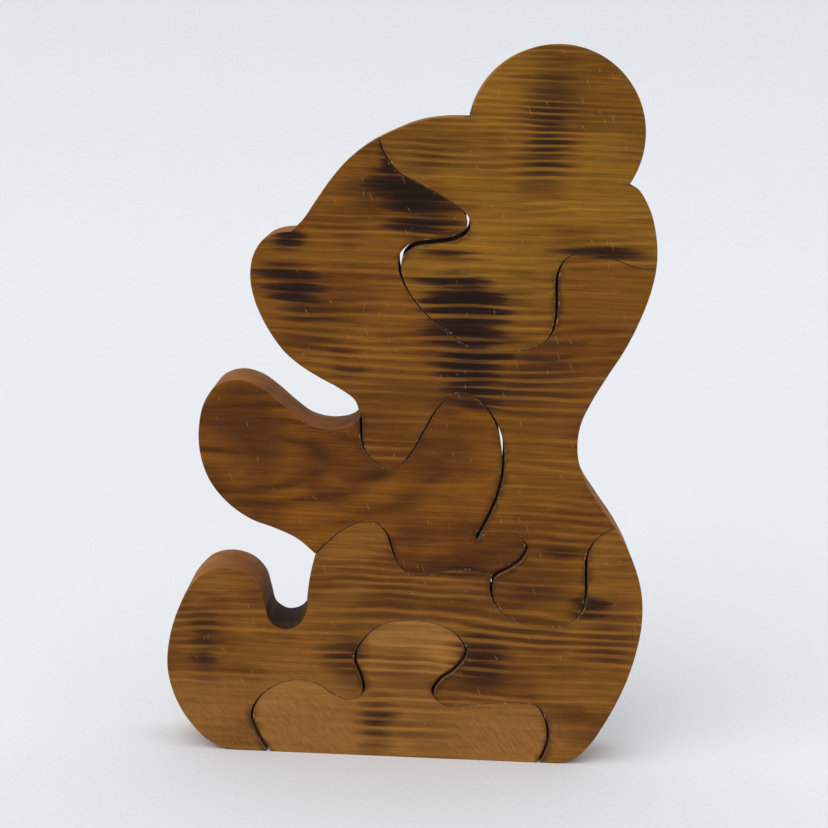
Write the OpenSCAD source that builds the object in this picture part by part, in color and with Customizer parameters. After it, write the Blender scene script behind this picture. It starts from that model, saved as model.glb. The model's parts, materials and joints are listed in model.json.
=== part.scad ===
// Sitting bear, an interlocking puzzle scroll-sawn from one board.
// The bear looks along -X, its front face looks along -Y and it stands on z = 0.

/* [Bear] */
// Height from the table to the top of the ear
toy_h = 200; // [160:1:240]
// Width from the toe to the rump
toy_w = 133; // [110:0.5:160]
// Thickness of the board
board_t = 20; // [12:1:30]
// Radius of the round ear
ear_r = 23.5; // [19:0.5:28]

/* [Saw cuts] */
// Width of the cut that the saw left between two pieces
kerf = 0.8; // [0.5:0.05:1.1]
// Gap that stays open where a piece rests on the one below it
seat_gap = 0.15; // [0.1:0.05:0.3]

/* [Locking tabs] */
// Length of the tab that the face sends back under the ear piece
face_tab_l = 18; // [14:0.5:22]
// Width of the jaw, the lobe of the ear piece that hangs into the face
jaw_w = 42.5; // [36:0.5:46]
// Depth of the chin tab below the crook of the arm
chin_tab_h = 14; // [11:0.5:17]
// Height of the arm's shoulder above the chin tab's lowest point
shoulder_h = 22; // [18:0.5:25]
// Length of the small tab at the back of the arm
arm_tab_l = 14; // [11:0.5:17]
// Width of the neck's tab in the body
neck_tab_w = 26.5; // [22:0.5:30]
// Depth of the neck's tab below the arm's tab
neck_tab_h = 14; // [11:0.5:17]
// Width of the head of the base's tab
base_tab_w = 31; // [27:0.5:37]
// Width of the neck of the base's tab
base_tab_neck = 19.5; // [16:0.5:23]
// Height of the base's tab above the base's back edge
base_tab_h = 23.5; // [19:0.5:28]

/* [Hidden] */

// The outline is drawn on a bear 133 wide and 200 high, then stretched to the size asked for.
drawn_w = 133;
drawn_h = 200;
function across(x) = x * toy_w / drawn_w;
function up(z) = z * toy_h / drawn_h;
function at(x, z) = [across(x), up(z)];

// Steps between two points of a curve
steps = 6;
// How far each piece has sunk onto the one below it
settle = kerf - seat_gap;
// How far the cut areas reach past the bear
beyond = 12;
far_x = toy_w / 2 + beyond;
far_z = toy_h + beyond;

// A smooth curve through points, with each slope weighed by the distances to its neighbours.
function slope(a, b, c) =
    let (before = norm(b - a), after = norm(c - b))
    ((b - a) * after / before + (c - b) * before / after) / (before + after);
function slope_at(p, i) =
    i == 0 ? (p[1] - p[0]) / norm(p[1] - p[0])
    : i == len(p) - 1 ? (p[i] - p[i - 1]) / norm(p[i] - p[i - 1])
    : slope(p[i - 1], p[i], p[i + 1]);
function blend(a, b, slope_a, slope_b, t) =
    let (span = norm(b - a))
    a * (2 * pow(t, 3) - 3 * pow(t, 2) + 1)
    + slope_a * span * (pow(t, 3) - 2 * pow(t, 2) + t)
    + b * (3 * pow(t, 2) - 2 * pow(t, 3))
    + slope_b * span * (pow(t, 3) - pow(t, 2));
function curve(p) = [
    for (i = [0 : len(p) - 2]) for (k = [0 : steps - 1])
        blend(p[i], p[i + 1], slope_at(p, i), slope_at(p, i + 1), k / steps),
    p[len(p) - 1]
];
function reversed(p) = [for (i = [len(p) - 1 : -1 : 0]) p[i]];
function part_of(p, first, last) = [for (i = [first : last]) p[i]];

// Outline, from the ear's front notch down the face, arm, belly and foot, then up the back.
ear_c = [across(35.6), toy_h - ear_r];
// The forehead and the back both end inside the ear's disc
front_notch = ear_c + ear_r * [cos(171), sin(171)] + [4, 0];
back_notch = ear_c + ear_r * [cos(330), sin(330)] - [2, 0];
crook = at(-14, 98);
belly_top = at(-25.4, 58.7);

forehead = [front_notch, at(5, 179.8), at(-1, 178.6), at(-7.5, 175.9), at(-14, 172.4), at(-19.5, 168),
    at(-24, 162.6), at(-28.2, 156.2), at(-31.6, 151), at(-34.4, 148)];
snout = [at(-34.4, 148), at(-38, 147.5), at(-41.6, 145.8), at(-44.3, 141.7), at(-45.2, 136),
    at(-44.3, 130.5), at(-42.1, 125), at(-38.9, 119.6), at(-35.2, 115), at(-30.5, 111.3),
    at(-25.5, 108.4), at(-20, 105.6), at(-15.8, 102.6), crook];
hand = [crook, at(-16.6, 95.5), at(-20.5, 94.3), at(-24.5, 94.3), at(-28.6, 95.4), at(-33, 98.4),
    at(-38, 102.5), at(-43, 105.8), at(-48.5, 107), at(-53.7, 105.2), at(-57, 100.5), at(-58.4, 94),
    at(-58, 86), at(-55.4, 78.7), at(-50.6, 72.7), at(-43.8, 68), at(-36.6, 65.5), at(-30.5, 62.8),
    belly_top];
foot = [belly_top, at(-26.6, 53), at(-27.3, 47), at(-27.7, 41.4), at(-30, 37.8), at(-34, 36.7),
    at(-37.4, 38.6), at(-39, 43.3), at(-40.6, 48.2), at(-44, 51.8), at(-50, 53.6), at(-55.6, 52.4),
    at(-60.1, 48), at(-63.5, 41), at(-65.9, 32), at(-66.3, 23.5), at(-64.1, 15.2), at(-59.9, 8),
    at(-55, 3), at(-50.5, 0.6), at(-46, 0)];
back = [at(45, 0), at(49.8, 1.5), at(53.8, 5.6), at(57.5, 11.8), at(60.6, 18.2), at(63.2, 25),
    at(65.3, 33), at(66.5, 42), at(65.9, 51), at(63.2, 59.5), at(58.8, 67.6), at(53.2, 75.3),
    at(48.4, 82.4), at(45.9, 90), at(46.2, 98), at(49, 105), at(52.8, 112), at(57.1, 119.5),
    at(60.6, 127.5), at(63, 135), at(64.2, 143), at(63.5, 151), at(61, 158.5), at(57.6, 163.2),
    back_notch];
drawn = concat(curve(forehead), curve(snout), curve(hand), curve(foot), curve(back));
drawn_x = [for (p = drawn) p.x];
middle_x = (min(drawn_x) + max(drawn_x)) / 2;

// Cut between the ear piece and the face: forehead, face tab, jaw, nape.
tab_root = at(-4.7, 151);
face_tip = tab_root.x + face_tab_l;
jaw_back = tab_root.x + jaw_w;
// A point on the nape, as a share of the way from the back of the jaw to the bear's back
function nape(share, z) = [jaw_back + 6.5 + share * (across(64) - jaw_back - 6.5), up(z)];
ear_cut = [at(-13.4, 178), at(-10, 169.6), at(-6.4, 165.2), at(-1, 162.4), [face_tip - 8.5, up(159.5)],
    [face_tip - 3.6, up(156.6)], [face_tip - 0.3, up(153.3)], [face_tip - 0.3, up(150.4)],
    [face_tip - 3.4, up(148.1)], [face_tip - 9.5, up(146.8)], at(-1.6, 145.6),
    at(-4.5, 142.8), at(-4.8, 138.8), at(-3.2, 134.6), at(0.2, 129.8), at(4.6, 125.5), at(9.6, 122),
    at(13.6, 119.3), at(19.5, 118.2), [jaw_back - 11, up(118)], [jaw_back - 5.2, up(119.2)],
    [jaw_back - 1.4, up(122.2)], [jaw_back + 0.1, up(127.5)], [jaw_back, up(133.5)],
    [jaw_back, up(139.5)], [jaw_back + 2, up(143.7)], [jaw_back + 6.5, up(145.3)],
    nape(0.27, 145), nape(0.53, 143.3), nape(0.78, 141.9), nape(1.3, 142.6)];

// Cut from the crook round the chin tab and the arm's shoulder to a sharp hook.
chin_low = crook + [8.6, -chin_tab_h];
shoulder_top = chin_low + [18.6, shoulder_h];
hook = at(19.2, 65.4);
arm_cut = [crook, crook + [0.2, -4.5], crook + [1.3, -9], chin_low + [-3.9, 1.4], chin_low,
    chin_low + [3, 1.3], chin_low + [5.7, 4.8], chin_low + [9.2, 11.6], shoulder_top + [-6.5, -5],
    shoulder_top + [-3.2, -1.3], shoulder_top + [0.6, 0], shoulder_top + [4.6, -1.6],
    shoulder_top + [8.2, -5.4], shoulder_top + [11.2, -11.4], at(25.6, 87.5), at(25, 80.5), at(22.6, 72.5),
    hook];

// Cut from the hook round the arm's tab, down round the neck's tab and out at the back.
joint_c = at(24.6, 54.4);
tab_tip = hook.x + arm_tab_l;
neck_left = joint_c.x - 0.7;
neck_right = neck_left + neck_tab_w;
neck_low = joint_c.y - neck_tab_h;
neck_cut = [hook, hook + [4, 1.1], hook + [arm_tab_l / 2 + 0.6, 1.5], [tab_tip - 2.6, hook.y + 0.9],
    [tab_tip, hook.y - 2.1], [tab_tip - 1.7, hook.y - 6], joint_c + [3.6, 2.4], joint_c,
    [neck_left, joint_c.y - 3.8], [neck_left + 1.6, joint_c.y - 8.4], [neck_left + 6, neck_low + 1.9],
    [neck_left + 11.4, neck_low], [neck_left + 17, neck_low - 0.2], [neck_right - 4.6, neck_low + 1],
    [neck_right - 1, neck_low + 4.6], [neck_right, neck_low + 9.5], [neck_right - 0.2, neck_low + 15],
    at(50.2, 61.6), at(52.3, 66.2), at(56.5, 69.2), at(66, 73)];
// The point of this cut where the cut under the arm meets it
joint_point = 7;

// Cut under the arm, from the belly to the neck's tab.
belly_cut = [belly_top, at(-22, 62.4), at(-18, 66), at(-12.5, 68.4), at(-8.4, 68), at(-5.6, 65.2),
    at(-4.3, 61.6), at(-2.6, 57.4), at(0.6, 54.2), at(4, 53.6), at(9, 54.9), at(15, 55.8), at(20, 55.6),
    joint_c];

// Cut round the base: front lobe, locking tab, back edge.
base_tab = at(-1, 17);
tab_lean = 3.2;
neck_front = base_tab.x - base_tab_neck / 2;
neck_back = base_tab.x + base_tab_neck / 2;
head_front = base_tab.x + tab_lean - base_tab_w / 2;
head_back = base_tab.x + tab_lean + base_tab_w / 2;
head_top = base_tab.y + base_tab_h;
head_mid = base_tab.y + base_tab_h / 2;
base_cut = [at(-34.5, -3.5), at(-37, 0), at(-40.7, 6), at(-42.2, 11), at(-40, 16.2), at(-35, 20.2),
    at(-29, 21.8), at(-23.4, 20.6), at(-18.4, 17.5), [neck_front - 3.6, base_tab.y - 0.5],
    [neck_front, base_tab.y + 1.8], [neck_front - 0.4, base_tab.y + 5.6], [head_front - 0.1, head_mid],
    [head_front + 2.8, head_top - 5.1], [head_front + 7.4, head_top - 1.4],
    [base_tab.x + tab_lean - 1, head_top], [head_back - 8.4, head_top - 0.7],
    [head_back - 2.4, head_top - 4], [head_back, head_top - 8.2], [head_back - 2.4, head_mid - 1.2],
    [neck_back + 1.6, base_tab.y + 6.2], [neck_back, base_tab.y + 2.6],
    [neck_back + 2.4, base_tab.y - 0.4], at(22, 16.8), at(34, 17.6), at(38.2, 17), at(41, 13),
    at(42, 8), at(41.2, 3.6), at(39.6, 0), at(37.8, -4)];

ear_line = curve(ear_cut);
arm_line = curve(arm_cut);
neck_line = curve(neck_cut);
belly_line = curve(belly_cut);
base_line = curve(base_cut);
joint_i = joint_point * steps;
neck_end = len(neck_line) - 1;
ear_end = len(ear_line) - 1;

// Points in the open air under the chin and under the hand, where two pieces part company.
under_chin = [[-far_x, up(118)], at(-34, 108), at(-21, 100.5)];
under_hand = [at(-34, 58.6), [-far_x, up(60)]];

// What each piece owns, up to the middle of its saw cuts.
ear_area = concat(ear_line, [[far_x, ear_line[ear_end].y], [far_x, far_z], [ear_line[0].x, far_z]]);
face_area = concat(reversed(ear_line), [[-far_x, ear_line[0].y]], under_chin, arm_line, neck_line,
    [[far_x, neck_line[neck_end].y], [far_x, ear_line[ear_end].y]]);
arm_area = concat(arm_line, part_of(neck_line, 0, joint_i), reversed(belly_line), under_hand, under_chin);
body_area = concat(belly_line, part_of(neck_line, joint_i, neck_end),
    [[far_x, neck_line[neck_end].y], [far_x, -beyond], [-far_x, -beyond]], reversed(under_hand));

// One side of a saw cut. The piece above lies on the left of the line and has sunk by the settle.
function cut_side(line, above) = [
    for (i = [0 : len(line) - 1])
        let (
            ahead = line[min(i + 1, len(line) - 1)] - line[max(i - 1, 0)],
            left = [-ahead.y, ahead.x] / norm(ahead)
        )
        line[i] + above * (left * kerf - [0, settle]) / 2
];
module saw_cut(line) polygon(concat(cut_side(line, 1), reversed(cut_side(line, -1))));
module saw_turn(centre) translate(centre) circle(d = kerf);

module outline() {
    polygon(drawn);
    translate(ear_c) circle(r = ear_r, $fn = 120);
}

// A flat shape in x and z, cut through the whole board.
module sawn(area) {
    translate([-middle_x, board_t / 2, 0]) rotate([90, 0, 0]) linear_extrude(board_t) difference() {
        intersection() {
            outline();
            polygon(area);
        }
        children();
    }
}

// Rump, belly and foot in one; it straddles the base and carries the others.
module body_piece() color([0.45, 0.29, 0.14]) sawn(body_area) {
    polygon(base_line);
    saw_cut(base_line);
    saw_cut(belly_line);
    saw_cut(neck_line);
}

// The bottom of the toy, with the tab that locks into the body.
module base_piece() color([0.53, 0.36, 0.18]) sawn(base_line) saw_cut(base_line);

// Arm, hand and shoulder, with a small tab into the neck.
module arm_piece() color([0.42, 0.25, 0.1]) sawn(arm_area) {
    saw_cut(arm_line);
    saw_cut(neck_line);
    saw_cut(belly_line);
    saw_turn(hook);
}

// Snout, chin, neck and the bear's back in one.
module face_piece() color([0.43, 0.28, 0.13]) sawn(face_area) {
    saw_cut(ear_line);
    saw_cut(arm_line);
    saw_cut(neck_line);
}

// Ear, back of the head and jaw in one.
module ear_piece() color([0.51, 0.35, 0.15]) sawn(ear_area) saw_cut(ear_line);

body_piece();
base_piece();
arm_piece();
face_piece();
ear_piece();
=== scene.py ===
"""A sitting bear puzzle, scroll-sawn from one pine board into five pieces, stained and scorched."""

import json
import logging
import math
from collections.abc import Callable
from dataclasses import dataclass, field
from enum import Enum

import bpy
from mathutils import Matrix, Vector
from mathutils.bvhtree import BVHTree
from mathutils.kdtree import KDTree

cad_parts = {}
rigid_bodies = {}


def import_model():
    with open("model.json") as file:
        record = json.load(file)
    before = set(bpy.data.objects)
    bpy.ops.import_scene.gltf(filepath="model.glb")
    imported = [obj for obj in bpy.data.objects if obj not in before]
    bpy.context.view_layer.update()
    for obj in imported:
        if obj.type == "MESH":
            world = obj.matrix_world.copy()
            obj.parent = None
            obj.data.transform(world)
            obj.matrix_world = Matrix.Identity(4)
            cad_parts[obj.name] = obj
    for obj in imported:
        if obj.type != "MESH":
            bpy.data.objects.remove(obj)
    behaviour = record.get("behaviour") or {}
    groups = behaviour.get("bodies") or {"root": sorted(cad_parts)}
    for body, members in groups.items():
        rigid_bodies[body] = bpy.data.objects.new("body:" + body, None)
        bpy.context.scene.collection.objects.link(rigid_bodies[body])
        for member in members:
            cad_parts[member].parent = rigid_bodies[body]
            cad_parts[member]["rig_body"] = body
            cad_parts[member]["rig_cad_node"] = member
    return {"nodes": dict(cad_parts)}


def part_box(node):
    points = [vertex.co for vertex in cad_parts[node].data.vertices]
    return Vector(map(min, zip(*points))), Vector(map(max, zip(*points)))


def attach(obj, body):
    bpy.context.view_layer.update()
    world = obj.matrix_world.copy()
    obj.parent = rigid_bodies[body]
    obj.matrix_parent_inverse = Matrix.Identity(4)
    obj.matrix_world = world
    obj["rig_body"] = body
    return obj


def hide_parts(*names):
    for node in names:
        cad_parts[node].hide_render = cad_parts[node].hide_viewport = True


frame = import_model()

MM = 0.001
RAGGEDNESS = 1.9              # how far a patch's outline strays, in half sizes of the patch
FEATHERED_TO = 1.6            # where a patch has died away, in half sizes of the patch
FRONT_ONLY = (-4.0, -9.0)     # depths between which the patches fade in towards the front, in millimetres
LOOKS = (-65.0, -35.0, 0.0, 35.0, 65.0)  # directions looked in from a wall, in degrees from straight out
LOG = logging.getLogger("bear_puzzle")

Socket = bpy.types.NodeSocket
Value = float | tuple[float, ...] | Socket
Colour = tuple[float, float, float, float]


def tone(red: int, green: int, blue: int) -> Colour:
    """Turn a display colour of 0 to 255 a channel into a linear colour.

    Args:
        red: Red channel.
        green: Green channel.
        blue: Blue channel.

    Returns:
        The linear colour, opaque.
    """
    def linear(channel: int) -> float:
        """Undo the display curve of one channel."""
        share = channel / 255
        return share / 12.92 if share <= 0.04045 else ((share + 0.055) / 1.055) ** 2.4

    return (linear(red), linear(green), linear(blue), 1.0)


class Wiring:
    """Adds nodes to one node tree and joins them up."""

    def __init__(self, tree: bpy.types.NodeTree) -> None:
        """Keep the tree that every later call adds to."""
        self.tree = tree

    def add(self, kind: str, inputs: dict[int | str, Value] | None = None,
            **settings: object) -> bpy.types.Node:
        """Add one node.

        Args:
            kind: Blender's name of the node type.
            inputs: What each input gets, a link from a socket or a plain value.
            **settings: Values for the node's own properties.

        Returns:
            The new node.
        """
        node = self.tree.nodes.new(kind)
        for name, setting in settings.items():
            setattr(node, name, setting)
        for key, value in (inputs or {}).items():
            if isinstance(value, bpy.types.NodeSocket):
                self.tree.links.new(value, node.inputs[key])
            else:
                node.inputs[key].default_value = value
        return node

    def group(self, tree: bpy.types.NodeTree, inputs: dict[str, Value]) -> tuple[Socket, ...]:
        """Place one node group.

        Args:
            tree: The group.
            inputs: What its inputs get.

        Returns:
            The group's outputs.
        """
        return tuple(self.add("ShaderNodeGroup", inputs, node_tree=tree).outputs)

    def math(self, operation: str, first: Value, second: Value = 0.0,
             clamp: bool = False) -> Socket:
        """Combine one or two values.

        Args:
            operation: Name of the sum, such as MULTIPLY.
            first: First value.
            second: Second value, where the operation has one.
            clamp: Whether to keep the result between 0 and 1.

        Returns:
            The result.
        """
        node = self.add("ShaderNodeMath", {0: first, 1: second}, operation=operation, use_clamp=clamp)
        return node.outputs[0]

    def ease(self, value: Value, start: float, end: float, low: float = 0.0, high: float = 1.0) -> Socket:
        """Ease from one level to another as a value passes between two marks.

        Args:
            value: The value that is followed.
            start: Where the result is still low.
            end: Where the result has become high.
            low: Result before the start.
            high: Result past the end.

        Returns:
            The eased level.
        """
        marks = {"Value": value, "From Min": start, "From Max": end, "To Min": low, "To Max": high}
        node = self.add("ShaderNodeMapRange", marks, interpolation_type="SMOOTHSTEP")
        return node.outputs["Result"]

    def blend(self, share: Value, first: Value, second: Value) -> Socket:
        """Blend two colours.

        Args:
            share: How much of the second colour shows.
            first: The colour below.
            second: The colour above.

        Returns:
            The blended colour.
        """
        return self.add("ShaderNodeMix", {0: share, 6: first, 7: second}, data_type="RGBA").outputs[2]

    def stretch(self, vector: Socket, scale: tuple[float, float, float],
                turn: float = 0.0, shift: tuple[float, float, float] = (0.0, 0.0, 0.0)) -> Socket:
        """Turn a pattern's coordinates about the thickness, then scale them.

        Args:
            vector: The coordinates.
            scale: Scale along the fibre, through the thickness and across the board.
            turn: Angle about the thickness, in degrees.
            shift: Offset of the pattern, so that two patterns don't match.

        Returns:
            The new coordinates.
        """
        turned = self.add("ShaderNodeVectorRotate", {"Vector": vector, "Axis": (0.0, 1.0, 0.0),
                                                     "Angle": math.radians(turn)})
        scaled = self.add("ShaderNodeVectorMath", {0: turned.outputs[0], 1: scale}, operation="MULTIPLY")
        moved = self.add("ShaderNodeVectorMath", {0: scaled.outputs[0], 1: shift}, operation="ADD")
        return moved.outputs[0]

    def noise(self, vector: Socket, detail: float = 2.0, roughness: float = 0.5) -> Socket:
        """Read soft noise of about one feature a unit.

        Args:
            vector: Coordinates, already stretched.
            detail: How many finer layers are added.
            roughness: How strong the finer layers are.

        Returns:
            A value round 0.5.
        """
        node = self.add("ShaderNodeTexNoise", {"Vector": vector, "Scale": 1.0, "Detail": detail,
                                               "Roughness": roughness})
        return node.outputs[0]


def make_group(name: str, inputs: dict[str, float | None], outputs: dict[str, str],
               fill: Callable[[Wiring, dict[str, Socket]], dict[str, Socket]]) -> bpy.types.NodeTree:
    """Build a shader node group once.

    Args:
        name: Name of the group.
        inputs: Name and first value of each number input, or None for a vector.
        outputs: Name and socket type of each output.
        fill: Wires the inside, from the input sockets to a socket for each output.

    Returns:
        The node group.
    """
    group = bpy.data.node_groups.new(name, "ShaderNodeTree")
    for label, value in inputs.items():
        kind = "NodeSocketVector" if value is None else "NodeSocketFloat"
        socket = group.interface.new_socket(label, in_out="INPUT", socket_type=kind)
        if value is not None:
            socket.default_value = value
    for label, kind in outputs.items():
        group.interface.new_socket(label, in_out="OUTPUT", socket_type=kind)
    wiring = Wiring(group)
    entry = wiring.add("NodeGroupInput")
    made = fill(wiring, {label: entry.outputs[label] for label in inputs})
    wiring.add("NodeGroupOutput", made)
    return group


class Figure(Enum):
    """How the growth rings come out on a sawn face."""

    STRIPED = "straight stripes along the board"
    FLAMED = "long arches round one heart"


@dataclass(frozen=True)
class GrowthRings:
    """The ring pattern of the board, the same in a shader and in a shape.

    Attributes:
        figure: Straight stripes, or arches round a heart.
        pitch: Distance between rings, in millimetres.
        heart: Middle of the arches, in millimetres.
        lean: How far the rings drift across the board for each millimetre of thickness.
        wander: How far the rings stray over long stretches, in millimetres.
        ripple: How far they stray over short stretches, in millimetres.
        arch: How flat the arches are.
        crowded_from: Height above which the rings crowd together, in millimetres.
        crowding: How fast they crowd.
        sharpness: How narrow the hard rings are.
    """

    figure: Figure
    pitch: float = 2.7
    heart: tuple[float, float] = (-58.0, 82.0)
    lean: float = 0.3
    wander: float = 6.0
    ripple: float = 2.4
    arch: float = 0.24
    crowded_from: float = 145.0
    crowding: float = 0.0028
    sharpness: float = 1.5

    def wire(self, w: Wiring, position: Socket) -> Socket:
        """Wire the ridges that the hard late wood makes.

        Args:
            w: The tree that the nodes go in.
            position: Coordinates in metres.

        Returns:
            1 on the crest of a hard ring and 0 in the soft wood between.
        """
        board = w.stretch(position, (1 / MM, 1 / MM, 1 / MM))
        part = w.add("ShaderNodeSeparateXYZ", {0: board})
        along, through, across = part.outputs
        slow = w.noise(w.stretch(board, (0.011, 0.02, 0.03)), detail=1.0)
        drift = w.math("MULTIPLY", w.math("SUBTRACT", slow, 0.5), self.wander * 2)
        ripple = w.noise(w.stretch(board, (0.045, 0.02, 0.09), shift=(3.0, 1.0, 7.0)), detail=1.0)
        wave = w.math("MULTIPLY", w.math("SUBTRACT", ripple, 0.5), self.ripple)
        if self.figure is Figure.STRIPED:
            ring = across
        else:
            reach = w.math("MULTIPLY", w.math("SUBTRACT", along, self.heart[0]), self.arch)
            rise = w.math("SUBTRACT", across, self.heart[1])
            ring = w.math("SQRT", w.math("ADD", w.math("POWER", reach, 2.0), w.math("POWER", rise, 2.0)))
        ring = w.math("ADD", ring, w.math("MULTIPLY", through, self.lean))
        ring = w.math("ADD", ring, w.math("ADD", drift, wave))
        beyond = w.math("MAXIMUM", w.math("SUBTRACT", across, self.crowded_from), 0.0)
        crowd = w.math("MULTIPLY", w.math("MULTIPLY", beyond, beyond), self.crowding)
        count = w.math("ADD", w.math("DIVIDE", ring, self.pitch), crowd)
        crest = w.math("COSINE", w.math("MULTIPLY", count, math.tau))
        crest = w.math("ADD", w.math("MULTIPLY", crest, 0.5), 0.5)
        vary = w.noise(w.stretch(board, (0.02, 0.05, 0.33), shift=(11.0, 5.0, 2.0)), detail=2.0)
        strength = w.ease(vary, 0.32, 0.6, 0.25, 1.0)
        broad = w.noise(w.stretch(board, (0.016, 0.03, 0.04), shift=(2.0, 9.0, 4.0)), detail=1.0)
        strength = w.math("MULTIPLY", strength, w.ease(broad, 0.36, 0.6, 0.45, 1.0))
        return w.math("MULTIPLY", w.math("POWER", crest, self.sharpness), strength)


@dataclass(frozen=True)
class Patch:
    """A soft patch on the front where the torch or the sander worked, in millimetres.

    Attributes:
        along: Middle of the patch, along the fibre.
        up: Middle of the patch, above the table.
        length: Its size along the fibre.
        height: Its size across the fibre.
        depth: How strongly it shows, and above 1 for a wider dark middle.
        only: The one block that it stays on, or nothing where it runs on across the saw cuts.
    """

    along: float
    up: float
    length: float
    height: float
    depth: float = 1.0
    only: str = ""


def wire_patch(w: Wiring, given: dict[str, Socket]) -> dict[str, Socket]:
    """Fill the group that draws one patch with feathered ends.

    Args:
        w: The group's wiring.
        given: Vector in millimetres, and the patch's place, sizes and depth.

    Returns:
        The patch's mask.
    """
    part = w.add("ShaderNodeSeparateXYZ", {0: given["Vector"]})
    along, through, across = part.outputs
    feather = w.noise(w.stretch(given["Vector"], (0.03, 0.1, 0.4)), detail=2.0)
    ragged = w.math("MULTIPLY", w.math("SUBTRACT", feather, 0.5), RAGGEDNESS)
    reach = w.math("DIVIDE", w.math("SUBTRACT", along, given["Along"]), given["Length"])
    rise = w.math("DIVIDE", w.math("SUBTRACT", across, given["Up"]), given["Height"])
    radius = w.math("SQRT", w.math("ADD", w.math("POWER", w.math("MULTIPLY", reach, 2.0), 2.0),
                                   w.math("POWER", w.math("MULTIPLY", rise, 2.0), 2.0)))
    soft = w.ease(w.math("ADD", radius, ragged), FEATHERED_TO, 0.0)
    front = w.ease(through, *FRONT_ONLY)
    mask = w.math("MULTIPLY", w.math("MULTIPLY", soft, front), given["Depth"])
    return {"Mask": mask}


# Slant in degrees, length and width in millimetres, and the pattern's shift, of each set of scratches
SPACING = 0.17
SCRATCH_SETS = ((-55.0, 1.9, 0.3, 0.0), (-68.0, 3.4, 0.22, 17.0), (-86.0, 1.7, 0.3, 31.0))


def wire_scratches(w: Wiring, given: dict[str, Socket]) -> dict[str, Socket]:
    """Fill the group that scatters short fine scratches of several slants.

    Args:
        w: The group's wiring.
        given: Vector in millimetres and how many of the scratches show.

    Returns:
        The mask of the scratches.
    """
    masks = []
    for turn, length, width, shift in SCRATCH_SETS:
        cells = w.stretch(w.stretch(given["Vector"], (1.0, 0.2, 1.0), turn),
                          (SPACING / length, SPACING / length, SPACING / width), shift=(shift, 0.0, shift))
        spots = w.add("ShaderNodeTexVoronoi", {"Vector": cells, "Scale": 1.0, "Randomness": 1.0},
                      voronoi_dimensions="3D")
        lot = w.add("ShaderNodeSeparateColor", {0: spots.outputs["Color"]})
        kept = w.math("LESS_THAN", lot.outputs[0], given["Amount"])
        line = w.ease(spots.outputs["Distance"], 0.1, 0.03)
        masks.append(w.math("MULTIPLY", w.math("MULTIPLY", line, kept), lot.outputs[1]))
    return {"Mask": w.math("MAXIMUM", w.math("MAXIMUM", masks[0], masks[1]), masks[2])}


def wire_fibres(w: Wiring, given: dict[str, Socket]) -> dict[str, Socket]:
    """Fill the group that draws the fine fibres of planed wood.

    Args:
        w: The group's wiring.
        given: Vector in millimetres.

    Returns:
        Coarse streaks, fine pores, broad clouds of stain and the slanted hatching of coarse sanding.
    """
    vector = given["Vector"]
    streaks = w.noise(w.stretch(vector, (0.035, 0.6, 1.1)), detail=4.0, roughness=0.62)
    pores = w.noise(w.stretch(vector, (0.3, 3.0, 5.5), shift=(4.0, 2.0, 9.0)), detail=3.0, roughness=0.6)
    clouds = w.noise(w.stretch(vector, (0.04, 0.04, 0.075), shift=(8.0, 3.0, 5.0)), detail=3.0)
    hatching = w.noise(w.stretch(w.stretch(vector, (1.0, 1.0, 1.0), -52.0), (0.28, 1.0, 1.7)), detail=3.0)
    return {"Streaks": streaks, "Pores": pores, "Clouds": clouds, "Hatching": hatching}


class Patterns:
    """The node groups that every wood finish shares."""

    def __init__(self) -> None:
        """Build each group once."""
        number = "NodeSocketFloat"
        marks = {"Vector": None, "Along": 0.0, "Up": 0.0, "Length": 10.0, "Height": 5.0, "Depth": 1.0}
        self.scorch = make_group("scorch_mark", marks, {"Mask": number}, wire_patch)
        self.scratches = make_group("fine_scratches", {"Vector": None, "Amount": 0.55},
                                    {"Mask": number}, wire_scratches)
        self.fibres = make_group("wood_fibres", {"Vector": None},
                                 {"Streaks": number, "Pores": number, "Clouds": number,
                                  "Hatching": number}, wire_fibres)


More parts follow.
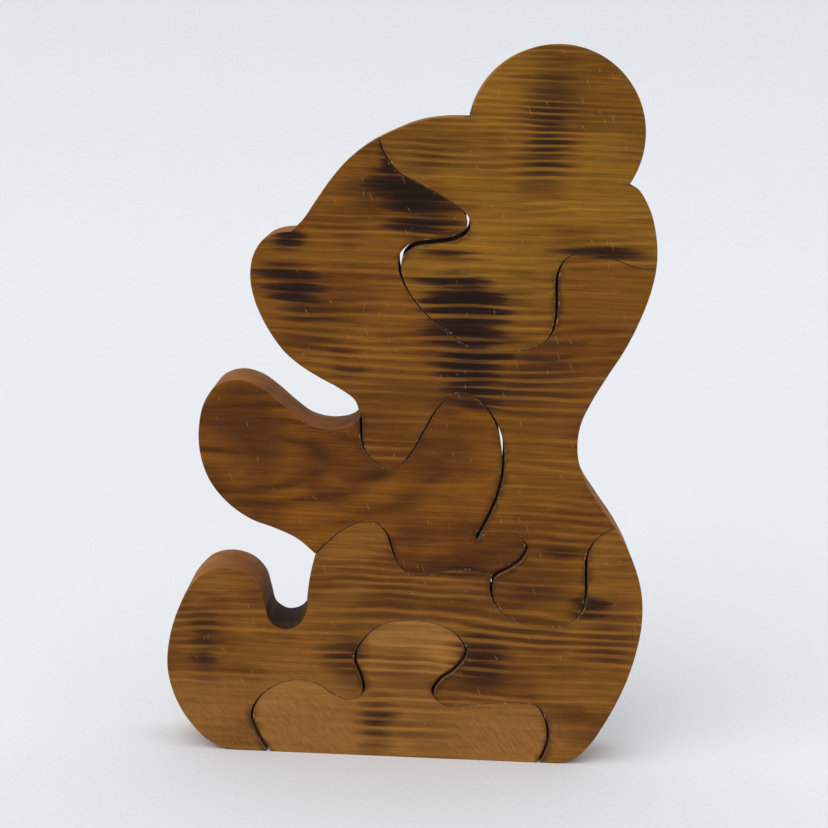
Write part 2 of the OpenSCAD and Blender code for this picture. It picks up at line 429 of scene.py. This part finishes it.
@dataclass(frozen=True)
class PineFinish:
    """Stained, scorched and lacquered pine of one piece.

    Attributes:
        name: Name of the material.
        soft: Stain on the soft early wood.
        hard: Stain on the hard rings.
        cloud: Stain where it took darker.
        rings: The ring pattern.
        scorches: Patches that the torch darkened.
        sanded: Patches that the sander rubbed through.
        ring_share: How strongly the hard rings show.
        burnt_brown: Wood that the torch browned.
        char: Wood that the torch blackened.
        raw_wood_and_glint: Bare wood in the scratches, and the pale colour of the painted glints along the
            cut rims.
        rubbed: Wood under the sanded patches.
        side: Stain on the outline's walls.
        crook_shade: Painted shade, near black, on walls closely surrounded by their own block, as in the
            crook of the foot.
        sawn: Wood inside the saw cuts, made pale as painted light so that the cut walls look lit from
            above.
        index: Refractive index of the lacquer.
        sheen: How much the lacquer reflects.
    """

    name: str
    soft: Colour
    hard: Colour
    cloud: Colour
    rings: GrowthRings
    scorches: tuple[Patch, ...] = ()
    sanded: tuple[Patch, ...] = ()
    ring_share: float = 0.55
    burnt_brown: Colour = tone(62, 32, 14)
    char: Colour = tone(27, 14, 7)
    raw_wood_and_glint: Colour = tone(190, 142, 90)
    rubbed: Colour = tone(152, 103, 50)
    side: Colour = tone(170, 112, 58)
    crook_shade: Colour = tone(26, 22, 14)
    sawn: Colour = tone(166, 132, 100)
    index: float = 1.45
    sheen: float = 0.14

    def material(self, patterns: Patterns) -> bpy.types.Material:
        """Build the material.

        Args:
            patterns: The shared node groups.

        Returns:
            The finished material.
        """
        made = bpy.data.materials.new(self.name)
        made.use_nodes = True
        made.node_tree.nodes.clear()
        w = Wiring(made.node_tree)
        place = w.add("ShaderNodeTexCoord").outputs["Object"]
        board = w.stretch(place, (1 / MM, 1 / MM, 1 / MM))
        ridge = self.rings.wire(w, place)
        streaks, pores, clouds, hatching = w.group(patterns.fibres, {"Vector": board})
        scratch, = w.group(patterns.scratches, {"Vector": board})
        colour = w.blend(w.ease(clouds, 0.4, 0.62), self.soft, self.cloud)
        colour = w.blend(w.math("MULTIPLY", ridge, self.ring_share), colour, self.hard)
        shade = w.math("MULTIPLY", w.ease(streaks, 0.3, 0.7, 0.8, 1.3),
                       w.ease(pores, 0.3, 0.7, 0.92, 1.12))
        colour = self.shaded(w, colour, shade)
        rubbed = self.shaded(w, self.rubbed, w.ease(hatching, 0.3, 0.7, 0.78, 1.2))
        colour = w.blend(self.patches(w, board, patterns, self.sanded), colour, rubbed)
        spared = w.math("MULTIPLY", w.ease(ridge, 0.12, 0.7, 1.0, 0.4),
                        w.ease(streaks, 0.3, 0.6, 0.75, 1.1))
        burn = w.math("MAXIMUM", self.patches(w, board, patterns, self.scorches),
                      w.ease(streaks, 0.58, 0.85, 0.0, 0.3))
        burn = w.math("MULTIPLY", burn, spared, clamp=True)
        colour = w.blend(w.ease(burn, 0.02, 0.62), colour, self.burnt_brown)
        colour = w.blend(w.ease(burn, 0.35, 1.0, 0.0, 0.92), colour, self.char)
        colour = self.edges(w, colour, board)
        colour = w.blend(w.math("MULTIPLY", scratch, 0.5), colour, self.raw_wood_and_glint)
        inside = w.add("ShaderNodeAttribute", attribute_name="saw_cut").outputs["Fac"]
        gloss = w.math("ADD", w.ease(pores, 0.3, 0.7, 0.34, 0.48), w.math("MULTIPLY", inside, 0.3))
        wall = w.add("ShaderNodeAttribute", attribute_name="wall").outputs["Fac"]
        gloss = w.math("ADD", gloss, w.ease(wall, 0.5, 1.0, 0.0, 0.42), clamp=True)
        relief = w.math("ADD", w.math("MULTIPLY", streaks, 0.14), w.math("MULTIPLY", pores, 0.1))
        relief = w.math("SUBTRACT", relief, w.math("MULTIPLY", scratch, 0.05))
        bump = w.add("ShaderNodeBump", {"Height": relief, "Distance": MM, "Strength": 0.7})
        surface = w.add("ShaderNodeBsdfPrincipled", {
            "Base Color": colour, "Roughness": gloss, "Normal": bump.outputs[0],
            "IOR": self.index, "Specular IOR Level": self.sheen})
        w.add("ShaderNodeOutputMaterial", {"Surface": surface.outputs[0]})
        return made

    def shaded(self, w: Wiring, colour: Socket | Colour, level: Socket) -> Socket:
        """Darken or lighten a colour.

        Args:
            w: The material's wiring.
            colour: The colour.
            level: 1 keeps it, less darkens it.

        Returns:
            The shaded colour.
        """
        base = colour if isinstance(colour, bpy.types.NodeSocket) else colour[:3]
        return w.add("ShaderNodeVectorMath", {0: base, "Scale": level}, operation="SCALE").outputs[0]

    def patches(self, w: Wiring, board: Socket, patterns: Patterns, marks: tuple[Patch, ...]) -> Value:
        """Lay patches over each other, the deepest on top.

        Args:
            w: The material's wiring.
            board: Coordinates in millimetres.
            patterns: The shared node groups.
            marks: The patches.

        Returns:
            How deep the patches are, or 0 where there are none at all.
        """
        total: Value = 0.0
        for mark in marks:
            depth, = w.group(patterns.scorch, {
                "Vector": board, "Along": mark.along, "Up": mark.up, "Length": mark.length,
                "Height": mark.height, "Depth": mark.depth})
            total = w.math("MAXIMUM", total, depth)
        return total

    def edges(self, w: Wiring, colour: Socket, board: Socket) -> Socket:
        """Dress the walls, with painted shade in narrow crooks and a pale painted light on the saw-cut
        walls, paint pale glints on the cut rims, and darken the wood along the open saw cuts with scorch
        and painted shade.

        Args:
            w: The material's wiring.
            colour: The colour so far.
            board: Coordinates in millimetres.

        Returns:
            The new colour.
        """
        near = w.add("ShaderNodeAttribute", attribute_name="from_cut").outputs["Fac"]
        gap = w.add("ShaderNodeAttribute", attribute_name="cut_gap").outputs["Fac"]
        wall = w.add("ShaderNodeAttribute", attribute_name="wall").outputs["Fac"]
        shelter = w.add("ShaderNodeAttribute", attribute_name="shelter").outputs["Fac"]
        inside = w.add("ShaderNodeAttribute", attribute_name="saw_cut").outputs["Fac"]
        ragged = w.noise(w.stretch(board, (0.12, 0.2, 0.3), shift=(1.0, 6.0, 2.0)), detail=3.0)
        reach = w.ease(ragged, 0.36, 0.64, 0.5, 2.8)
        # Partly scorch and partly painted shade: the wood next to an open saw cut darkens towards burnt
        # brown, more the wider the gap.
        open_cut = w.ease(gap, 0.25, 0.9, 0.06, 0.65)
        cut_scorch_and_shade = w.math("MULTIPLY", w.ease(w.math("DIVIDE", near, reach), 1.0, 0.0), open_cut)
        colour = w.blend(cut_scorch_and_shade, colour, self.burnt_brown)
        # Painted glints: pale specks of bare-wood colour scattered along the rims of the saw cuts.
        glint_noise = w.noise(w.stretch(board, (0.9, 0.3, 0.9), shift=(5.0, 8.0, 3.0)), detail=1.0)
        painted_glints = w.math("MULTIPLY", w.ease(glint_noise, 0.6, 0.68), w.ease(near, 0.45, 0.15, 0.0, 0.6))
        colour = w.blend(painted_glints, colour, self.raw_wood_and_glint)
        teeth = w.noise(w.stretch(board, (3.5, 0.12, 3.5)), detail=2.0)
        worn = w.noise(w.stretch(board, (0.12, 0.16, 0.12), shift=(6.0, 2.0, 1.0)), detail=3.0)
        side = self.shaded(w, self.side, w.ease(worn, 0.3, 0.7, 0.74, 1.18))
        side = self.shaded(w, side, w.ease(teeth, 0.3, 0.7, 0.88, 1.1))
        colour = w.blend(w.ease(wall, 0.35, 1.0, 0.0, 0.6), colour, side)
        # Painted shade: walls closely surrounded by their own block's walls go near black.
        colour = w.blend(w.ease(shelter, 0.12, 0.5, 0.0, 0.9), colour, self.crook_shade)
        # Partly painted light: the saw-cut walls take the sawn wood colour, lightened so that they look lit
        # from above.
        sawn = self.shaded(w, w.blend(0.3, self.sawn, colour), w.ease(teeth, 0.3, 0.7, 0.7, 1.2))
        return w.blend(inside, colour, sawn)


def fan(outward: Vector) -> list[Vector]:
    """List the directions looked in from a wall, from one side to the other."""
    return [Matrix.Rotation(math.radians(turn), 3, "Y") @ outward for turn in LOOKS]


class SawnBoard:
    """The five blocks as they were sawn, for finding what lies across a cut.

    Attributes:
        hair: How far off a wall the look for a dent starts, in millimetres.
        step_off: How far off a wall the look for shelter starts, in millimetres.
    """

    hair: float = 0.02
    step_off: float = 0.1

    def __init__(self) -> None:
        """Index the walls of every block once."""
        self.blocks = {name: self.index(node.data) for name, node in frame["nodes"].items()}

    def index(self, mesh: bpy.types.Mesh) -> BVHTree:
        """Index one block's faces for ray casting."""
        points = [point.co for point in mesh.vertices]
        return BVHTree.FromPolygons(points, [tuple(face.vertices) for face in mesh.polygons])

    def gap(self, node: str, start: Vector, outward: Vector, reach: float) -> float | None:
        """Measure from a wall of one block to the other blocks in front of it.

        Args:
            node: The block that the wall belongs to.
            start: Middle of the wall.
            outward: The wall's normal.
            reach: How far to look, in metres.

        Returns:
            The gap in metres, or None where the wall is on the outline.
        """
        others = [block for name, block in self.blocks.items() if name != node]
        found = []
        for ray in fan(outward):
            aways = [block.ray_cast(start, ray, reach)[3] for block in others]
            found.append(min((away for away in aways if away is not None), default=None))
        straight = found[len(LOOKS) // 2]
        seen = [away for away in found if away is not None]
        return straight if straight is not None else min(seen) if len(seen) > 1 else None

    def pinched(self, node: str, start: Vector, outward: Vector, reach: float) -> bool:
        """Tell whether a wall faces its own block so closely that its edge can't be rounded.

        Args:
            node: The block that the wall belongs to.
            start: Middle of the wall.
            outward: The wall's normal.
            reach: How far to look, in metres.

        Returns:
            True inside a relief hole or a narrow dent.
        """
        clear = start + outward * self.hair * MM
        return any(self.blocks[node].ray_cast(clear, ray, reach)[3] is not None for ray in fan(outward))

    def shelter(self, node: str, start: Vector, outward: Vector, reach: float) -> float:
        """Tell how closely a wall is surrounded by other walls of its own block.

        Args:
            node: The block that the wall belongs to.
            start: Middle of the wall.
            outward: The wall's normal.
            reach: How far to look, in metres.

        Returns:
            0 in the open, and towards 1 in a narrow crook.
        """
        closeness = 0.0
        for ray in fan(outward):
            away = self.blocks[node].ray_cast(start + outward * self.step_off * MM, ray, reach)[3]
            closeness += 0.0 if away is None else 1.0 - away / reach
        return closeness / len(LOOKS)


@dataclass
class PuzzlePiece:
    """One sawn piece of the board: its shape, its eased edges, its brushed faces and its finish.

    Attributes:
        node: The sawn block that it dresses.
        body: The body that it rides on.
        slot: Name meant for its material slot, not used.
        finish: Its wood finish.
        rim_round: Rounding of the outline, in millimetres, as are all the sizes below.
        cut_round: Rounding along the saw cuts.
        slice_up: Height of the slices that take the relief.
        slice_along: Their length.
        brushed: Depth to which the soft wood is brushed out.
        widest_cut: Widest gap that still counts as a saw cut.
        crook: How far to look for other walls that shelter a wall.
        dent: Width of the dents that are too narrow for a round edge.
        flat: Least share of a face's normal through the board that makes it front or back.
    """

    node: str
    body: str
    slot: str
    finish: PineFinish
    rim_round: float = 0.55
    cut_round: float = 0.08
    slice_up: float = 0.4
    slice_along: float = 1.0
    brushed: float = 0.11
    widest_cut: float = 2.2
    crook: float = 26.0
    dent: float = 1.6
    flat: float = 0.9

    def build(self, board: SawnBoard, patterns: Patterns) -> bpy.types.Object:
        """Make the piece and dress it.

        Args:
            board: The sawn blocks.
            patterns: The shared node groups.

        Returns:
            The finished piece.
        """
        piece = self.copy_of_node()
        self.mark_walls(piece, board)
        self.ease_edges(piece)
        self.slice_board(piece)
        self.measure_from_edges(piece)
        self.brush_faces(piece)
        piece.data.materials.clear()
        piece.data.materials.append(self.finish.material(patterns))
        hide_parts(self.node)
        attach(piece, self.body)
        return piece

    def copy_of_node(self) -> bpy.types.Object:
        """Copy the sawn block as a clean closed mesh.

        Returns:
            The new piece.
        """
        source = frame["nodes"][self.node]
        bpy.ops.object.select_all(action="DESELECT")
        source.select_set(True)
        bpy.context.view_layer.objects.active = source
        bpy.ops.object.duplicate()
        piece = bpy.context.object
        piece.parent = None
        piece.name = self.node.replace("_piece", "_wood")
        piece.data.name = piece.name
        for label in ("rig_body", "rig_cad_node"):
            del piece[label]
        bpy.ops.object.mode_set(mode="EDIT")
        bpy.ops.mesh.customdata_custom_splitnormals_clear()
        bpy.ops.mesh.select_all(action="SELECT")
        bpy.ops.mesh.remove_doubles(threshold=0.08 * MM)
        bpy.ops.mesh.dissolve_limited(angle_limit=math.radians(0.1))
        bpy.ops.object.mode_set(mode="OBJECT")
        return piece

    def mark_walls(self, piece: bpy.types.Object, board: SawnBoard) -> None:
        """Note which walls face a neighbour across a saw cut, and how round each edge becomes.

        Args:
            piece: The clean block.
            board: The sawn blocks.
        """
        mesh = piece.data
        labels = ("saw_cut", "cut_gap", "shelter")
        for label in labels:
            mesh.attributes.new(label, "FLOAT", "FACE")
        facing, gaps, shelter = (mesh.attributes[label].data for label in labels)
        walls, tight = {}, set()
        for face in mesh.polygons:
            if abs(face.normal.y) < self.flat:
                gap = board.gap(self.node, face.center, face.normal, self.widest_cut * MM)
                facing[face.index].value = float(gap is not None)
                gaps[face.index].value = (gap or 0.0) / MM
                place = (self.node, face.center, face.normal)
                if gap is None:
                    shelter[face.index].value = board.shelter(*place, self.crook * MM)
                walls.update((key, face.index) for key in face.edge_keys)
                if gap is not None or board.pinched(*place, self.dent * MM):
                    tight.add(face.index)
        rims = {key for face in mesh.polygons if abs(face.normal.y) >= self.flat for key in face.edge_keys}
        weights = mesh.attributes.new("bevel_weight_edge", "FLOAT", "EDGE")
        for edge in mesh.edges:
            if edge.key in rims and edge.key in walls:
                least = self.cut_round / self.rim_round
                weights.data[edge.index].value = least if walls[edge.key] in tight else 1.0

    def ease_edges(self, piece: bpy.types.Object) -> None:
        """Round the edges, the outline more than the saw cuts.

        Args:
            piece: The block with its walls marked.
        """
        bevel = piece.modifiers.new("eased_edges", "BEVEL")
        bevel.limit_method = "WEIGHT"
        bevel.width = self.rim_round * MM
        bevel.segments = 4
        bevel.use_clamp_overlap = False
        bpy.ops.object.modifier_apply(modifier=bevel.name)

    def slice_board(self, piece: bpy.types.Object) -> None:
        """Slice the block across and along, so that its faces can take a relief.

        Args:
            piece: The block with eased edges.
        """
        low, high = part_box(self.node)
        coarser = 1
        bpy.ops.object.mode_set(mode="EDIT")
        for axis, step in ((2, self.slice_up * MM * coarser), (0, self.slice_along * MM * coarser)):
            normal = Vector((0.0, 0.0, 0.0))
            normal[axis] = 1.0
            for count in range(math.ceil(low[axis] / step), math.floor(high[axis] / step) + 1):
                bpy.ops.mesh.select_all(action="SELECT")
                bpy.ops.mesh.bisect(plane_co=normal * count * step, plane_no=normal, threshold=0.001 * MM)
        bpy.ops.mesh.select_all(action="SELECT")
        bpy.ops.mesh.remove_doubles(threshold=0.012 * MM)
        bpy.ops.object.mode_set(mode="OBJECT")

    def measure_from_edges(self, piece: bpy.types.Object) -> None:
        """Store how far each point lies from an open saw cut, how wide that cut is, and what is wall.

        Args:
            piece: The sliced block.
        """
        mesh = piece.data
        facing, gaps = (mesh.attributes[label].data for label in ("saw_cut", "cut_gap"))
        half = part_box(self.node)[1].y
        rim = {}
        for face in mesh.polygons:
            if facing[face.index].value > 0.5 and abs(face.normal.y) < 0.05:
                for index in face.vertices:
                    x, y, z = mesh.vertices[index].co
                    rim[(round(x, 5), math.copysign(half, y), round(z, 5))] = gaps[face.index].value
        tree = KDTree(len(rim))
        for index, spot in enumerate(rim):
            tree.insert(spot, index)
        tree.balance()
        width = list(rim.values())
        found = [tree.find(point.co) for point in mesh.vertices]
        mesh.attributes.remove(mesh.attributes["cut_gap"])
        measures = {"from_cut": [away / MM for _, _, away in found],
                    "cut_gap": [width[nearest] for _, nearest, _ in found],
                    "wall": [1.0 - abs(point.normal.y) for point in mesh.vertices]}
        for label, values in measures.items():
            mesh.attributes.new(label, "FLOAT", "POINT").data.foreach_set("value", values)

    def brush_faces(self, piece: bpy.types.Object) -> None:
        """Brush out the soft wood, so that the hard rings stand proud on both faces.

        Args:
            piece: The sliced block.
        """
        tree = bpy.data.node_groups.new("brushed_" + self.node, "GeometryNodeTree")
        tree.interface.new_socket("Geometry", in_out="INPUT", socket_type="NodeSocketGeometry")
        tree.interface.new_socket("Geometry", in_out="OUTPUT", socket_type="NodeSocketGeometry")
        w = Wiring(tree)
        entry = w.add("NodeGroupInput")
        place = w.add("GeometryNodeInputPosition").outputs[0]
        ridge = self.finish.rings.wire(w, place)
        facing = w.add("ShaderNodeSeparateXYZ", {0: w.add("GeometryNodeInputNormal").outputs[0]}).outputs[1]
        flat = w.ease(w.math("ABSOLUTE", facing), 0.75, 0.99)
        depth = w.math("MULTIPLY", w.math("SUBTRACT", 1.0, ridge), -self.brushed * MM)
        through = w.add("ShaderNodeSeparateXYZ", {0: place}).outputs[1]
        push = w.math("MULTIPLY", w.math("MULTIPLY", depth, flat), w.math("SIGN", through))
        offset = w.add("ShaderNodeCombineXYZ", {1: push}).outputs[0]
        moved = w.add("GeometryNodeSetPosition", {"Geometry": entry.outputs[0], "Offset": offset})
        w.add("NodeGroupOutput", {0: moved.outputs[0]})
        brush = piece.modifiers.new("brushed_faces", "NODES")
        brush.node_group = tree
        bpy.context.view_layer.objects.active = piece
        bpy.ops.object.modifier_apply(modifier=brush.name)
        bpy.ops.object.shade_smooth_by_angle(angle=math.radians(35))


@dataclass
class BearPuzzle:
    """The whole board puzzle, cut into five pieces that lock together."""

    straight: GrowthRings = GrowthRings(Figure.STRIPED)
    flamed: GrowthRings = GrowthRings(Figure.FLAMED, pitch=5.2, wander=12.0)
    torched: tuple[Patch, ...] = (
        # Ear and forehead
        Patch(33.0, 177.0, 18.0, 38.0, 0.6), Patch(2.0, 169.0, 26.0, 12.0, 0.4, "ear_piece"),
        # Tab of the face, under the forehead
        Patch(-1.0, 160.0, 24.0, 17.0, 1.15, "face_piece"),
        Patch(-7.0, 168.0, 9.0, 16.0, 1.0, "face_piece"),
        Patch(1.0, 151.0, 24.0, 6.0, 0.95, "face_piece"), Patch(-14.0, 157.0, 20.0, 14.0, 0.4),
        # Snout
        Patch(-35.0, 146.0, 10.0, 6.0), Patch(-36.0, 137.0, 19.0, 6.0, 0.85),
        Patch(-33.0, 132.0, 19.0, 7.0), Patch(-30.0, 126.0, 24.0, 8.0, 0.5),
        Patch(-27.0, 119.0, 26.0, 9.0, 0.4),
        # Cheek
        Patch(9.0, 143.5, 20.0, 4.0, 0.6), Patch(11.0, 136.0, 22.0, 6.0, 0.9),
        Patch(13.0, 130.0, 24.0, 11.0, 1.1), Patch(14.0, 122.0, 26.0, 12.0, 1.1),
        Patch(26.0, 132.0, 22.0, 14.0, 0.35), Patch(16.0, 113.5, 21.0, 14.0, 1.1),
        Patch(17.0, 105.0, 20.0, 9.0, 0.75), Patch(32.0, 109.0, 44.0, 26.0, 0.45, "face_piece"),
        Patch(0.0, 106.0, 70.0, 16.0, 0.3, "face_piece"),
        # Chin and nape
        Patch(-20.0, 116.5, 10.0, 5.0, 0.5), Patch(-17.5, 110.5, 14.0, 5.0, 0.5),
        Patch(50.0, 145.5, 26.0, 3.2, 0.75),
        # Arm's tab, neck's tab and shoulder of the rump
        Patch(11.0, 90.0, 28.0, 24.0, 0.36, "arm_piece"), Patch(-43.0, 91.0, 34.0, 20.0, 0.34, "arm_piece"),
        Patch(2.0, 64.0, 14.0, 8.0, 0.3), Patch(14.0, 56.0, 26.0, 6.0, 0.6),
        Patch(43.0, 62.0, 16.0, 7.0, 0.55), Patch(37.0, 51.0, 24.0, 16.0, 0.4),
        Patch(52.0, 46.0, 15.0, 8.0, 0.75), Patch(58.0, 38.0, 20.0, 30.0, 0.42),
        # Belly, foot and rump
        Patch(-2.0, 46.0, 60.0, 26.0, 0.3), Patch(32.0, 39.0, 36.0, 14.0, 0.45),
        Patch(-56.0, 32.0, 11.0, 28.0, 0.5), Patch(-16.0, 29.0, 16.0, 16.0, 0.5),
        Patch(22.0, 31.0, 19.0, 26.0, 0.6),
        # Base
        Patch(1.0, 27.0, 26.0, 18.0, 0.35, "base_piece"),
        Patch(-6.5, 11.0, 14.0, 20.0, 0.5), Patch(4.0, 8.0, 26.0, 7.0, 0.35))
    sanded: tuple[Patch, ...] = (
        Patch(-27.0, 9.0, 38.0, 30.0, 0.9), Patch(-54.0, 10.0, 34.0, 24.0, 0.7),
        Patch(27.0, 7.0, 36.0, 20.0, 1.0), Patch(4.0, 38.0, 26.0, 7.0, 0.4))

    def reaching(self, node: str, marks: tuple[Patch, ...]) -> tuple[Patch, ...]:
        """Pick the patches on the board that reach one piece.

        Args:
            node: The piece's block.
            marks: All the patches of one kind.

        Returns:
            The patches that overlap the block's box.
        """
        low, high = (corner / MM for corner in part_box(node))
        return tuple(mark for mark in marks
                     if mark.only in ("", node)
                     and low.x - mark.length / 2 < mark.along < high.x + mark.length / 2
                     and low.z - mark.height / 2 < mark.up < high.z + mark.height / 2)

    def pieces(self) -> list[PuzzlePiece]:
        """List the pieces with their finishes.

        Returns:
            The pieces, from the bottom of the board up.
        """
        stains = {
            "body": (tone(126, 80, 24), tone(154, 102, 38), tone(98, 56, 14)),
            "base": (tone(154, 103, 44), tone(176, 122, 56), tone(128, 82, 30)),
            "arm": (tone(128, 76, 14), tone(66, 33, 6), tone(98, 54, 10)),
            "face": (tone(118, 72, 14), tone(152, 100, 34), tone(94, 52, 8)),
            "ear": (tone(130, 86, 20), tone(158, 111, 40), tone(106, 66, 12))}
        made = []
        for name, (soft, hard, cloud) in stains.items():
            node = f"{name}_piece"
            rings = self.flamed if name == "arm" else self.straight
            finish = PineFinish(f"{name}_pine", soft, hard, cloud, rings, self.reaching(node, self.torched),
                                self.reaching(node, self.sanded), 0.85 if name == "arm" else 0.55)
            made.append(PuzzlePiece(node, name, f"{name}_wood", finish))
        return made


@dataclass
class Studio:
    """Pale sweep, soft lights and the camera."""

    sweep_depth: float = 0.95
    sweep_width: float = 6.0
    sweep_height: float = 2.4
    sweep_bend: float = 0.4
    near_edge: float = -2.5
    lens: float = 75.75
    stand: Vector = field(default_factory=lambda: Vector((0.00516, -0.47780, 0.19081)))
    ahead: Vector = field(default_factory=lambda: Vector((-0.009846, 0.981440, -0.191519)))
    upright: Vector = field(default_factory=lambda: Vector((-0.040765, 0.190975, 0.980748)))

    def build(self) -> None:
        """Set up everything round the puzzle."""
        self.sweep()
        self.world()
        self.lamp("key_light", (-0.45, -0.6, 0.9), 50.0, 1.1)
        self.lamp("top_light", (0.15, 0.1, 1.0), 60.0, 0.75)
        self.camera()

    def sweep(self) -> None:
        """Draw the floor that rises into a backdrop in one curve."""
        bpy.ops.object.select_all(action="DESELECT")
        bpy.ops.mesh.primitive_plane_add(size=1.0)
        floor = bpy.context.object
        floor.name = "floor_sweep"
        mesh = floor.data
        half = self.sweep_width / 2
        for point in mesh.vertices:
            far = point.co.y > 0
            point.co = (math.copysign(half, point.co.x), self.sweep_depth if far else self.near_edge, 0.0)
        bpy.ops.object.mode_set(mode="EDIT")
        bpy.ops.mesh.select_mode(type="EDGE")
        bpy.ops.mesh.select_all(action="DESELECT")
        bpy.ops.object.mode_set(mode="OBJECT")
        for edge in mesh.edges:
            edge.select = all(mesh.vertices[index].co.y > 0 for index in edge.vertices)
        bpy.ops.object.mode_set(mode="EDIT")
        bpy.ops.mesh.extrude_region_move(TRANSFORM_OT_translate={"value": (0.0, 0.0, self.sweep_height)})
        bpy.ops.object.mode_set(mode="OBJECT")
        bend = floor.modifiers.new("bend", "BEVEL")
        bend.width = self.sweep_bend
        bend.segments = 32
        bpy.ops.object.modifier_apply(modifier=bend.name)
        bpy.ops.object.shade_smooth()
        paper = bpy.data.materials.new("pale_paper")
        paper.use_nodes = True
        paper.node_tree.nodes.clear()
        w = Wiring(paper.node_tree)
        place = w.add("ShaderNodeTexCoord").outputs["Object"]
        mottle = w.noise(w.stretch(place, (900.0, 900.0, 900.0)), detail=1.0)
        colour = w.blend(w.ease(mottle, 0.2, 0.8), tone(228, 230, 232), tone(234, 236, 238))
        surface = w.add("ShaderNodeBsdfPrincipled", {"Base Color": colour, "Roughness": 0.9})
        w.add("ShaderNodeOutputMaterial", {"Surface": surface.outputs[0]})
        mesh.materials.append(paper)

    def world(self) -> None:
        """Fill the room with even, slightly cool light."""
        sky = bpy.data.worlds.new("room_light")
        bpy.context.scene.world = sky
        sky.use_nodes = True
        sky.node_tree.nodes.clear()
        w = Wiring(sky.node_tree)
        glow = w.add("ShaderNodeBackground", {"Color": tone(246, 249, 252), "Strength": 0.58})
        w.add("ShaderNodeOutputWorld", {"Surface": glow.outputs[0]})

    def lamp(self, name: str, source: tuple[float, float, float], spread: float, power: float) -> None:
        """Hang one far, broad light.

        Args:
            name: Name of the light.
            source: Direction that the light comes from.
            spread: How wide it looks from the table, in degrees.
            power: Its power in watts a square metre.
        """
        bpy.ops.object.light_add(type="SUN", location=source)
        light = bpy.context.object
        light.name = name
        light.data.angle = math.radians(spread)
        light.data.energy = power
        light.rotation_euler = (-Vector(source)).to_track_quat("-Z", "Y").to_euler()

    def camera(self) -> None:
        """Stand the camera in front of the board, a little above its middle."""
        bpy.ops.object.camera_add(location=self.stand)
        camera = bpy.context.object
        side = self.ahead.cross(self.upright)
        camera.rotation_euler = Matrix((side, self.upright, -self.ahead)).transposed().to_euler()
        camera.data.lens = self.lens
        camera.data.sensor_width = 36.0
        camera.data.clip_start = 0.02
        bpy.context.scene.camera = camera
        bpy.context.scene.view_settings.view_transform = "Standard"


def main() -> None:
    """Build the studio and the puzzle."""
    logging.basicConfig(level=logging.INFO, format="%(name)s: %(message)s")
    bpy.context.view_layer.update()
    board = SawnBoard()
    patterns = Patterns()
    Studio().build()
    for piece in BearPuzzle().pieces():
        made = piece.build(board, patterns)
        LOG.info("%s rides on %s with %d faces", made.name, piece.body, len(made.data.polygons))


if __name__ == "__main__":
    main()
